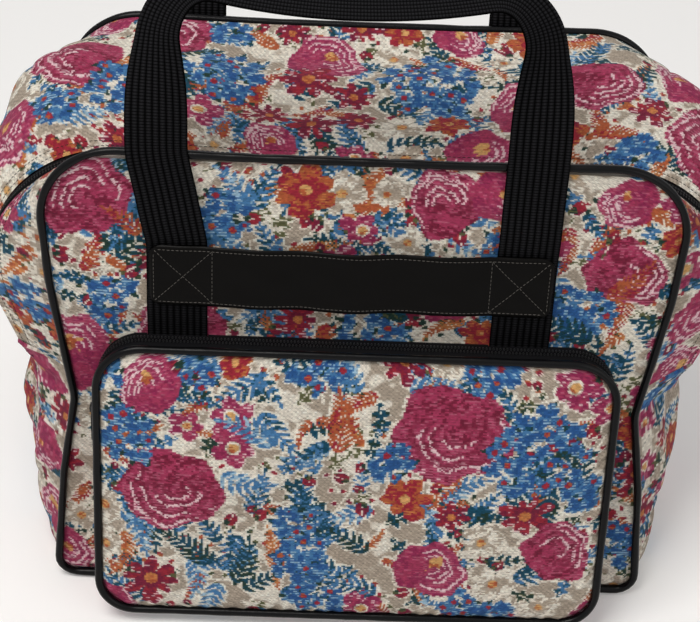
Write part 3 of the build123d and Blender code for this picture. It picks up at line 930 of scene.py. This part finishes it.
def gusset_cloth(name, node, cuts, columns, seed, free, density, majors=(), upper=True):
    """
    A strip of the gusset with its folds, above or below the join. Free says how far each row may
    stand off its CAD place. The ends of the lower strip are tucked in behind the upper ones.
    """
    tree = cad_tree(node)
    side = 1 if upper else -1
    edges = [cut_outline(tree, cut, side * seam_angle, side * (180 - seam_angle), 721) for cut in cuts]
    points = np.stack([resample(edge[::-1] if upper else edge, columns) for edge in edges])
    inner = points[1:-1, 1:-1]
    for _ in range(24):
        inner[:] = (
            2 * inner + points[:-2, 1:-1] + points[2:, 1:-1] + points[1:-1, :-2] + points[1:-1, 2:]
        ) / 6
    points = points + normals_of(points) * crumple(points, free[:, None])[..., None]
    points[..., 2] = np.maximum(points[..., 2], 0.02)
    if not upper:
        inward = np.sign(points[:, [0, -1], :1]) * -rightward + 3 * back_up
        ends = points[:, [0, -1]] + inward
        points = np.concatenate([ends[:, :1], points, ends[:, 1:]], 1)
    span = np.array([length_of(line) for line in points]).mean()
    depth = np.linalg.norm(np.diff(points, axis=0), axis=-1).mean(1)
    places = np.concatenate([[0], np.cumsum(depth)])
    across = np.linspace(-0.5, 0.5, points.shape[1])[None] * span * np.ones((len(cuts), 1))
    up = np.broadcast_to(places[:, None], across.shape).copy()
    cloth_piece(name, points, across, up, seed, [node], majors, density)
    return points


def held_edges(rows, near, far, depth):
    """1 in the free middle of a strip and 0 at the edges where it is sewn."""
    place = np.linspace(0, depth, rows)
    return smoothstep(place, 0, near) * smoothstep(depth - place, 0, far)


upper_columns = 620
lower_columns = 420
rear_depth = back_face - edge_inset + base_depth / 2 - zip_far
rear_rows = int(rear_depth / coarse_height)
rear_cut_list = rear_cuts(zip_far, rear_rows)
rear_free = held_edges(rear_rows, 26, 22, rear_depth)
rear_majors = (
    ("gold_rose", -30, 118, 27), ("daisy", -40, 88, 21), ("blue", 45, 90, 32),
    ("blue", -98, 88, 25), ("rose", -199, 86, 29), ("blue", -168, 62, 24),
    ("magenta_flower", -115, 45, 18), ("white_flower", 20, 122, 15), ("poppy", 126, 138, 20),
    ("fern", 201, 150, 40), ("fern", 172, 150, 32), ("gold_rose", 107, 60, 24), ("rose", 160, 80, 27),
)
rear_points = gusset_cloth(
    "rear_gusset_cloth", "gusset_rear", rear_cut_list, upper_columns, 23, rear_free, 1.4, rear_majors
)
strip_depth = zip_near - edge_inset
strip_rows = int(strip_depth / coarse_height)
strip_cuts = [front_cut(depth) for depth in np.linspace(edge_inset + 0.05, zip_near - 0.05, strip_rows)]
strip_free = 0.35 * held_edges(strip_rows, 14, 14, strip_depth)
strip_points = gusset_cloth(
    "front_gusset_cloth", "gusset_front", strip_cuts, upper_columns, 24, strip_free, 1.3
)
lower_depth = base_depth - 2 * edge_inset
lower_rows = int(lower_depth / (1.4 * coarse_height))
lower_cuts = rear_cuts(edge_inset, lower_rows)
lower_free = held_edges(lower_rows, 22, 22, lower_depth)
lower_points = gusset_cloth(
    "lower_gusset_cloth", "gusset_bottom", lower_cuts, lower_columns, 25, lower_free, 1.2, upper=False
)


# Front pocket
def pocket_front_grid():
    """Grid of the pocket's front, the distance from its rim, and how far its swell stands out."""
    tree = cad_tree("pocket_front")
    low, high = edge_inset + 0.3, pocket_slope - edge_inset - 0.3
    heights = np.linspace(low, high, int((high - low) / float_height))
    half = cast(tree, pocket_point(300.0, heights, -1.2), -rightward)[:, 0]
    across, up, edge = flat_grid(heights, half)
    origin = pocket_point(0.0, 0.0, 0.0)
    out_way = pocket_point(0.0, 0.0, 1.0) - origin
    hits = cast(tree, pocket_point(across, up, 60.0).reshape(-1, 3), -out_way)
    swell = ((hits - origin) @ out_way).reshape(across.shape)
    swell = np.where(np.isnan(swell), 0, swell)
    for _ in range(60):
        padded = np.pad(swell, 1, mode="edge")
        swell = (padded[:-2, 1:-1] + padded[2:, 1:-1] + padded[1:-1, :-2] + padded[1:-1, 2:]) / 4
    return across, up, edge, swell


across, rise, edge, swell = pocket_front_grid()
places = flat_places(across, rise)
soft = 1.8 * waves(places, 130, 51) + 0.8 * waves(places, 52, 52)
pucker = 0.8 * np.sin((across - rise) / 2.3 + 3 * waves(places, 70, 53))
out_by = swell * smoothstep(edge, -2, 8) + soft * smoothstep(edge, 0, 34)
out_by = out_by + pucker * np.exp(-edge / 11) + rim_tuck(edge)
across, rise, out_by = with_hem(across, rise, out_by)
pocket_majors = (
    ("rose", 67, 160, 39), ("rose", -128, 110, 34), ("gold_rose", -142, 190, 21),
    ("magenta_flower", -86, 170, 17), ("magenta_flower", -84, 146, 17), ("blue", 128, 148, 34),
    ("blue", -157, 150, 18), ("daisy", 122, 98, 20), ("poppy", 37, 107, 18),
    ("sprig", -12, 145, 44), ("blue_fern", -56, 150, 40), ("blue", 26, 136, 13),
    ("daisy", -142, 31, 22), ("gold_rose", 58, 48, 25), ("rose", 148, 66, 25),
    ("white_flower", 104, 36, 17), ("fern", -100, 45, 44), ("fern", -82, 30, 40),
    ("bud", -87, 82, 12), ("bud", -66, 86, 12), ("blue", -35, 53, 20), ("fern", 12, 60, 36),
)
points = pocket_point(across, rise, out_by)
cloth_piece("pocket_cloth", points, across, rise, 26, ["pocket_front"], pocket_majors, 1.3)


def pocket_side_grid(rows, columns):
    """Grid of the pocket's lower wall, from the panel to its piping, left end to right end."""
    depths = np.linspace(0.02, 1, rows)
    out = 0.2 + depths[0] * (pocket_top_depth - edge_inset - 0.6)
    base = resample(front_outline("pocket_gusset", pocket_side_middle, out, 168, 372, 400), columns)
    heights = (base - front_origin) @ front_up
    depth_limit = pocket_foot_depth - (heights - pocket_foot) * tan(pocket_tilt) - edge_inset - 0.4
    flat = base - np.outer((base - front_origin) @ front_out, front_out)
    return flat[None] + depths[:, None, None] * depth_limit[None, :, None] * front_out


side_rows, side_columns = 34, 420
side_points = pocket_side_grid(side_rows, side_columns)
side_free = held_edges(side_rows, 8, 8, 34)[:, None]
side_waves = waves(side_points * np.array([1.0, 0.6, 1.0]), 55, 54)
side_points = side_points + normals_of(side_points) * (side_free * side_waves)[..., None]
side_points[..., 2] = np.maximum(side_points[..., 2], 0.3)
across = np.linspace(0, length_of(side_points[0]), side_columns)[None] * np.ones((side_rows, 1))
rise = np.linspace(0, 40, side_rows)[:, None] * np.ones((1, side_columns))
cloth_piece("pocket_side_cloth", side_points, across, rise, 27, ["pocket_gusset"])


# Piping
def piping_line(node, plane_point, middle):
    """Centre line of a piping loop, from rays in its plane against the inside of its CAD tube."""
    angles = np.linspace(0, 2 * pi, 1441)[:-1]
    start = plane_point(0.0, middle, 0.0)
    ways = plane_point(np.cos(angles), middle + np.sin(angles), 0.0) - start
    inner = resample(met(cast(cad_tree(node), start, ways)), 420, closed=True)
    out = plane_point(0.0, middle, 1.0) - start
    aside = unit(np.cross(np.roll(inner, -2, 0) - np.roll(inner, 2, 0), out))
    return inner + piping_radius * aside * np.sign((aside * (inner - start)).sum(1, keepdims=True))


def piping(name, node, plane_point, middle, seed):
    """A covered cord round a panel, a little uneven as sewn cord is."""
    line = piping_line(node, plane_point, middle)
    radius = piping_radius - 0.12 + 0.12 * waves(line, 30, seed)
    travel = unit(np.roll(line, -1, 0) - np.roll(line, 1, 0))
    points = line[:, None] + rings_about(travel, (0.31, -0.83, 0.46), 14) * radius[:, None, None]
    faces = grid_faces(*points.shape[:2], around=True, closed=True)
    mesh_piece(name, points, faces, vinyl, [node])


panel_middle, pocket_middle = 180.0, 100.0
piping("front_piping_cord", "front_piping", front_point, panel_middle, 61)
piping("back_piping_cord", "back_piping", back_point, panel_middle, 62)
piping("pocket_piping_cord", "pocket_piping", pocket_point, pocket_middle, 63)


# Handles, as stations of centre, travel and width
def loop_path(start, rise, way, fall):
    """Stations of half a free loop, from its right leg to the middle of the grip."""
    reach = start[0] - strap_offset
    leg = rise - handle_shoulder
    bend = pi / 2 + grip_droop
    twist_length = handle_twist + handle_shoulder * bend
    path = []
    for share in np.linspace(0, 1, 20)[1:]:
        twisted = max(0.0, leg * share - (leg - handle_twist))
        path.append((reach, leg * share, 0.0, twisted / twist_length))
    for share in np.linspace(0, 1, 22)[1:]:
        turn = bend * share
        twisted = handle_twist + handle_shoulder * turn
        across = reach - handle_shoulder * (1 - cos(turn))
        path.append((across, leg + handle_shoulder * sin(turn), turn, twisted / twist_length))
    grip_reach, grip_height = path[-1][:2]
    grip_radius = grip_reach / sin(grip_droop)
    for share in np.linspace(0, 1, 36)[1:]:
        turn = pi / 2 + grip_droop * (1 - share)
        height = grip_height - grip_radius * (sin(turn) - cos(grip_droop))
        path.append((-grip_radius * cos(turn), height, turn, 1.0))
    stations = []
    for across, height, turn, twist_share in path:
        twist = pi / 2 * smoothstep(twist_share, -0.05, 1.05)
        back = fall * (height / rise) ** 2
        slope = 2 * fall * height / rise**2
        travel = np.array([-sin(turn), slope * cos(turn), way * cos(turn)])
        outward = np.array([cos(turn), 0, way * sin(turn)])
        width = outward * cos(twist) + np.array([0, 1, 0]) * sin(twist)
        stations.append((start + np.array([across - reach, back, way * height]), travel, width))
    return stations


def with_other_leg(stations):
    """Stations of a whole handle, from those of its right half up to the middle of the grip."""
    mirror = np.array([-1, 1, 1])
    across = 2 * strap_offset * rightward
    left = [
        (centre * mirror + across, -travel * mirror, width * mirror)
        for centre, travel, width in reversed(stations[:-1])
    ]
    return stations + left


def leaned(stations):
    """Stations of the front handle, moved sideways as its free part leans."""
    moved = []
    for centre, travel, width in stations:
        free = 1 + ((centre - front_origin) @ front_up - front_height) / strap_release
        moved.append((centre + handle_lean * np.clip(free, 0, 1) * rightward, travel, width))
    return moved


def smooth_line(line, times):
    """A line of points, evened out with its ends kept."""
    for _ in range(times):
        line[1:-1] = (line[:-2] + 2 * line[1:-1] + line[2:]) / 4
    return line


def strap(name, stations, replaced):
    """Ribbed webbing through stations."""
    centres, _, widths = (np.array(rows) for rows in zip(*stations))
    lengths = lengths_along(centres)
    places = np.linspace(0, lengths[-1], int(lengths[-1] / strap_step))
    centres, widths = (smooth_line(along_line(places, lengths, rows), 6) for rows in (centres, widths))
    travel = unit(np.gradient(centres, axis=0))
    widths = unit(widths - travel * (widths * travel).sum(1, keepdims=True))
    face = np.cross(widths, travel)
    shares = np.linspace(-1, 1, strap_ribs * 4 + 1)
    rib = rib_depth * np.abs(np.sin(strap_ribs * pi * (shares + 1) / 2)) ** 0.7 - rib_depth
    side = np.concatenate([shares, shares[::-1]]) * rib_width * strap_ribs / 2
    level = np.concatenate([strap_middle + rib, -strap_middle - rib[::-1]])
    points = centres[:, None] + widths[:, None] * side[:, None] + face[:, None] * level[:, None]
    faces = grid_faces(*points.shape[:2], around=True)
    piece = mesh_piece(name, points, faces, webbing, replaced)
    flat = np.broadcast_arrays(side[None] + rib_width * strap_ribs / 2, places[:, None])
    set_uv(piece, np.stack(flat, -1))


def leg_stations(plane_point, upward, top, release, spread, relief):
    """Stations of the right leg: sewn to the panel, then free, over the piping and to the panel's top."""
    stations = []
    for height in np.append(np.arange(strap_foot, top, 4.0), top):
        free = max(0.0, (height - top + release) / release)
        lifted = smoothstep(height, top - release, top - strap_lift)
        out = (strap_middle + relief(height)) * (1 - lifted) + strap_clear * lifted
        stations.append((plane_point(right_place + spread * free, height, out), upward, rightward))
    return stations


def front_leg_relief(heights):
    """How far the sewn legs of the front handle stand out with the cloth below them."""
    edge = np.minimum(front_height - heights, 60.0)
    places = (np.full_like(heights, leg) for leg in (right_place, left_place))
    legs = (panel_relief(place, heights, edge) for place in places)
    return np.maximum(*legs) + 0.25


def back_leg_relief(height):
    """The sewn legs of the back handle lie flat on the panel at every height."""
    return 0.1 + 0 * height


front_stations = leg_stations(
    front_point, front_up, front_height, strap_release, strap_spread, front_leg_relief
)
front_start = front_point(right_place + strap_spread, front_height, strap_clear)
front_stations += loop_path(front_start, handle_rise, 1, handle_fall)
strap("front_webbing", leaned(with_other_leg(front_stations)), ["front_handle"])

back_stations = leg_stations(back_point, back_up, back_height, strap_turn, 0, back_leg_relief)
turn_start = back_point(right_place, back_height + piping_radius, strap_clear)
for turn in np.linspace(0, pi, 24):
    place = turn_start + np.array([0, hang_turn * (1 - cos(turn)), hang_turn * sin(turn)])
    back_stations.append((place, np.array([0, sin(turn), cos(turn)]), rightward))
back_stations += loop_path(back_stations[-1][0], hang_drop, -1, 0)
strap("back_webbing", with_other_leg(back_stations), ["back_handle"])


# Patch
def patch_bend(across):
    """How far the slack bar stands out between the straps."""
    inner = (strap_spacing - strap_width) / 2
    share = np.clip((across / inner + 1) / 2, 0, 1)
    bend = 5 * np.interp(share, np.linspace(0, 1, 7), (0.0, 0.55, 0.15, 0.9, 0.1, 0.6, 0.0))
    for _ in range(14):
        bend = np.convolve(np.pad(bend, 1, mode="edge"), (0.25, 0.5, 0.25), "valid")
    return bend


def patch_piece():
    """The bar with rounded corners and edges, on both straps."""
    across = np.linspace(-patch_half, patch_half, 137)
    bend = patch_bend(across)
    across, up = np.meshgrid(across, np.linspace(0, patch_height, 25))
    middle_x = np.clip(across, -(patch_half - patch_corner), patch_half - patch_corner)
    middle_y = np.clip(up, patch_corner, patch_height - patch_corner)
    corner = np.hypot(across - middle_x, up - middle_y)
    pull = np.where(corner > patch_corner, patch_corner / np.maximum(corner, 1e-6), 1)
    across = middle_x + (across - middle_x) * pull
    up = middle_y + (up - middle_y) * pull
    rim = np.minimum(patch_half - np.abs(across), np.minimum(up, patch_height - up))
    around = np.linspace(patch_foot - 10, patch_foot + patch_height + 10, 24)
    level = strap_thickness + 0.5 + front_leg_relief(around).max()
    base = level + bend + 0.2 * waves(flat_places(across, up), 30, 71)
    groove = -0.35 * np.exp(-(((rim - patch_seam) / 0.7) ** 2))
    face = base + patch_thickness * (0.45 + 0.55 * smoothstep(rim, 0, 1.6)) + groove
    sides = [front_point(strap_offset + across, patch_foot + up, out) for out in (face, base)]
    rows, columns = across.shape
    faces = grid_faces(rows, columns)
    index = np.arange(rows * columns).reshape(rows, columns)
    border = np.concatenate([index[0], index[1:, -1], index[-1, -2::-1], index[-2:0:-1, 0]])
    following = np.roll(border, -1)
    wall = np.stack([border, border + index.size, following + index.size, following], 1)
    faces = np.concatenate([faces, faces[:, ::-1] + index.size, wall])
    return mesh_piece("patch_bar", sides, faces, patch_vinyl, ["front_patch"])


patch_bar = patch_piece()


# Zips
def inward_ways(line, way):
    """Unit ways square to a zip's line and to the way across it, towards the inside of the bag."""
    inward = np.cross(unit(np.gradient(line, axis=0)), way)
    return -inward * np.sign((inward * (line - bag_middle)).sum(1, keepdims=True))


def coil_row(name, node, line, way, shift):
    """Teeth in place of one CAD row: short loops across it, whose heads meet the other row's."""
    count = int(length_of(line) / coil_pitch)
    points = resample(line, 2 * count)[shift::2]
    seat = points + coil_sink * inward_ways(points, way)
    piece = capsules(
        name, seat - coil_tail * way, seat + coil_head * way, coil_thickness, nylon
    )
    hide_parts(node)


def zip_guard(name, lines):
    """A flat tape inside a zip, behind the gap between its rows and clear of the slider."""
    first, second = (resample(line, 260) for line in lines)
    middle = (first + second) / 2
    turns = np.arange(8) * pi / 4
    ring = guard_width / 2 * np.cos(turns)[None, :, None] * front_out
    sink = guard_sink + guard_thickness / 2 * np.sin(turns)
    ring = ring + sink[None, :, None] * inward_ways(middle, front_out)[:, None]
    faces = grid_faces(len(middle), len(turns), around=True)
    mesh_piece(name, middle[:, None] + ring, faces, tape_cloth)


def main_teeth_line(node, depth):
    """Outer line of a row of the main zip's teeth at its depth behind the front."""
    first, last = main_teeth_angle, 180 - main_teeth_angle
    return cut_outline(cad_tree(node), front_cut(depth), first, last, 1441)


def pocket_teeth_line(node, depth):
    """Outer line of a row of the pocket zip's teeth at its distance out from the front."""
    first, last = pocket_teeth_angle, 180 - pocket_teeth_angle
    return front_outline(node, pocket_zip_foot, depth, first, last, 1441)


for zip_name, rows, depth, teeth_line, way in (
    ("main", ("front", "rear"), main_zip_depth, main_teeth_line, -front_out),
    ("pocket", ("inner", "outer"), pocket_zip_depth, pocket_teeth_line, front_out),
):
    lines = []
    for shift, side in enumerate((-1, 1)):
        node = f"{zip_name}_teeth_{rows[shift]}"
        lines.append(teeth_line(node, depth + side * teeth_offset))
        coil_row(f"{zip_name}_coil_{rows[shift]}", node, lines[-1], -side * way, shift)
    zip_guard(f"{zip_name}_zip_guard", lines)


# Stitching
def stitches(name, lines, thread, thickness, pitch):
    """Rows of stitches along lines, in one piece."""
    rows = [resample(line, int(length_of(line) / pitch) + 1) for line in lines]
    starts = np.concatenate([row[:-1] for row in rows])
    steps = np.concatenate([np.diff(row, axis=0) for row in rows])
    capsules(name, starts, starts + steps * stitch_share, thickness, thread)


def lifted(points):
    """A strip's grid, lifted outwards so that thread lies on the cloth."""
    normal = normals_of(points)
    outward = np.sign((normal * (points - points.mean((0, 1)))).sum(-1, keepdims=True))
    return points + 0.15 * normal * outward


zip_rows = [lifted(rear_points)[row] for row in (2, 5)]
zip_rows += [lifted(strip_points)[row] for row in (-3, -6)]
near_row, far_row = (int(depth / lower_depth * lower_rows) for depth in (zip_near, zip_far))
zip_ends = slice(near_row - 3, far_row + 2)
zip_rows += [lifted(lower_points)[zip_ends, column] for column in (3, 6, -4, -7)]
zip_rows += [lifted(side_points)[2:-2, column] for column in (2, 6, -3, -7)]
stitches("zip_stitching", zip_rows, dark_thread, 0.55, 3.4)


def patch_stitch_lines():
    """The seam round the bar and the crossed box over each strap."""
    tree = tree_of(patch_bar.data)

    def on_patch(*ends):
        places = resample(np.array([(x, y, 0) for x, y in ends], float), 60)
        starts = front_point(strap_offset + places[:, 0], patch_foot + places[:, 1], 60.0)
        return cast(tree, starts, -front_out) + 0.1 * front_out

    right, foot, top = patch_half - patch_seam, patch_seam, patch_height - patch_seam
    lines = []
    for way in (-1, 1):
        near, far = way * (patch_half - strap_width - 0.5), way * right
        lines.append(on_patch((near, foot), (far, top)))
        lines.append(on_patch((near, top), (far, foot)))
        lines.append(on_patch((near, foot), (near, top)))
        lines.append(on_patch((far, foot + 3), (far, top - 3)))
    for level in (foot, top):
        lines.append(on_patch((-right + 3, level), (right - 3, level)))
    return lines


stitches("patch_stitching", patch_stitch_lines(), brown_thread, 0.5, 3.0)

# CAD pieces that keep their shape
tapes = ("main_tape_front", "main_tape_rear", "pocket_tape_inner", "pocket_tape_outer")
sliders = ("main_slider_left", "main_slider_right", "pocket_slider")
pulls = ("main_pull_left", "main_pull_right", "pocket_pull")
for material, slot, names in (
    (tape_cloth, "zip_tape", tapes),
    (slider_paint, "slider_metal", sliders),
    (pull_cover, "pull_cord", pulls),
):
    for name in names:
        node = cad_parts[name]
        node.data.materials.clear()
        node.data.materials.append(material)

# Stage, with lengths in metres. Lights: name, place, size and power.
surround_light = 0.33
surround_white = 0.8
floor_colour = (0.89, 0.885, 0.88)
floor_glow = 0.16
floor_reach = 6
floor_drop = 0.0005
light_colour = (1, 0.97, 0.93)
light_aim = Vector((0, 0, 0.2))
lights = (
    ("key", (-0.7, -0.8, 2.2), 1.2, 36),
    ("fill", (1.5, -1.6, 1.2), 1.6, 8),
    ("back", (0.3, 2.0, 1.8), 1.6, 6),
)


def seen_rays(tree):
    """1 for rays that the camera sees, straight or by way of a shiny or clear surface."""
    path = add_node(tree, "LightPath", {}).outputs
    shiny = calculated(tree, "MAXIMUM", path["Is Camera Ray"], path["Is Glossy Ray"])
    return calculated(tree, "MAXIMUM", shiny, path["Is Transmission Ray"])


def pale_floor():
    """A wide pale floor just below the bag."""
    mesh = bpy.data.meshes.new("floor")
    corners = [(x * floor_reach, y * floor_reach, 0) for x, y in ((-1, -1), (1, -1), (1, 1), (-1, 1))]
    mesh.from_pydata(corners, [], [(0, 1, 2, 3)])
    floor = bpy.data.objects.new("floor", mesh)
    floor.location.z = -floor_drop
    bpy.context.scene.collection.objects.link(floor)
    material, tree, inputs = shader("pale_floor", floor_colour, 0.7, 0.1)
    inputs["Emission Color"].default_value = (*floor_colour, 1)
    glow = calculated(tree, "MULTIPLY", seen_rays(tree), floor_glow)
    tree.links.new(glow, inputs["Emission Strength"])
    mesh.materials.append(material)


def lights_and_surround():
    """A soft key light from above, two weaker lights and a pale surround."""
    for name, place, size, power in lights:
        light = bpy.data.lights.new(name, "AREA")
        light.energy = power
        light.size = size
        light.color = light_colour
        lamp = bpy.data.objects.new(name, light)
        lamp.location = place
        lamp.rotation_euler = (light_aim - Vector(place)).to_track_quat("-Z", "Y").to_euler()
        bpy.context.scene.collection.objects.link(lamp)
    world = bpy.data.worlds.new("surround")
    world.use_nodes = True
    tree = world.node_tree
    background = tree.nodes["Background"].inputs
    background["Color"].default_value = (1, 1, 1, 1)
    strengths = {"Factor": seen_rays(tree), "A": surround_light, "B": surround_white}
    tree.links.new(add_node(tree, "Mix", strengths).outputs["Result"], background["Strength"])
    bpy.context.scene.world = world


def photo_camera():
    """Camera of the photograph: above and in front, turned a little clockwise."""
    distance, pitch, yaw, roll = 1555, radians(37.21), radians(1.16), radians(2.76)
    aim = np.array([-5.0, 0, 175.0])
    forward = np.array([sin(yaw) * cos(pitch), cos(yaw) * cos(pitch), -sin(pitch)])
    level = np.array([cos(yaw), -sin(yaw), 0])
    above = np.cross(level, forward)
    right = cos(roll) * level + sin(roll) * above
    upward = -sin(roll) * level + cos(roll) * above
    data = bpy.data.cameras.new("photo_camera")
    data.sensor_width = 36
    data.lens = 108
    camera = bpy.data.objects.new("photo_camera", data)
    place = (aim - distance * forward) * metre
    turned = Matrix((right, upward, -forward)).transposed().to_4x4()
    camera.matrix_world = Matrix.Translation(Vector(place)) @ turned
    bpy.context.scene.collection.objects.link(camera)
    bpy.context.scene.camera = camera


pale_floor()
lights_and_surround()
photo_camera()
bpy.context.scene.view_settings.view_transform = "Standard"
